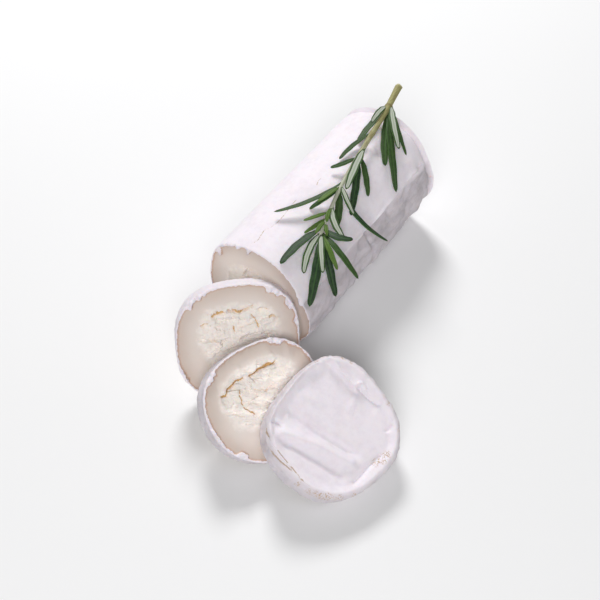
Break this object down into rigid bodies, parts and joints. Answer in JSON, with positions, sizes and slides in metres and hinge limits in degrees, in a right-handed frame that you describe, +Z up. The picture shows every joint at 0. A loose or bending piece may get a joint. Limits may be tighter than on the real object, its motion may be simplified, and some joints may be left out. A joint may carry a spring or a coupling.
{
  "type": "goat cheese log",
  "caption": "Ripened goat cheese log lying on its side, sliced at one end with the slices leaning on each other, under a rosemary sprig.",
  "frame": {"origin": "middle of the bounding box's bottom, on the surface that the cheese lies on", "axes": "+X along the log, from its cut face towards its far end; +Z up; the slices are towards -X and -Y"},
  "size_m": [0.171, 0.1066, 0.0602],
  "materials": {
    "bloomy_rind": "soft matt white mould rind",
    "cut_paste": "smooth waxy cut cheese",
    "rosemary_leaf": "leathery, slightly glossy leaf",
    "rosemary_stem": "green-brown soft wood"
  },
  "bodies": {
    "root": {"cheese_log": "bloomy_rind", "cut_slice_upright": "cut_paste", "cut_slice_leaning": "cut_paste", "end_slice": "bloomy_rind", "rosemary_stem": "rosemary_stem", "rosemary_leaf_a1": "rosemary_leaf", "rosemary_leaf_a2": "rosemary_leaf", "rosemary_leaf_a3": "rosemary_leaf", "rosemary_leaf_a4": "rosemary_leaf", "rosemary_leaf_a5": "rosemary_leaf", "rosemary_leaf_a6": "rosemary_leaf", "rosemary_leaf_a7": "rosemary_leaf", "rosemary_leaf_b1": "rosemary_leaf", "rosemary_leaf_b2": "rosemary_leaf", "rosemary_leaf_b3": "rosemary_leaf", "rosemary_leaf_b4": "rosemary_leaf", "rosemary_leaf_c1": "rosemary_leaf", "rosemary_leaf_c2": "rosemary_leaf", "rosemary_leaf_c3": "rosemary_leaf", "rosemary_leaf_c4": "rosemary_leaf", "rosemary_leaf_c5": "rosemary_leaf", "rosemary_leaf_c6": "rosemary_leaf", "rosemary_leaf_d1": "rosemary_leaf", "rosemary_leaf_d2": "rosemary_leaf", "rosemary_leaf_d3": "rosemary_leaf", "rosemary_leaf_d4": "rosemary_leaf", "rosemary_leaf_e1": "rosemary_leaf", "rosemary_leaf_e2": "rosemary_leaf", "rosemary_leaf_e3": "rosemary_leaf", "rosemary_leaf_e4": "rosemary_leaf", "rosemary_leaf_e5": "rosemary_leaf", "rosemary_leaf_e6": "rosemary_leaf", "rosemary_leaf_e7": "rosemary_leaf", "rosemary_leaf_e8": "rosemary_leaf", "rosemary_leaf_e9": "rosemary_leaf", "rosemary_leaf_e10": "rosemary_leaf"}
  },
  "joints": []
}
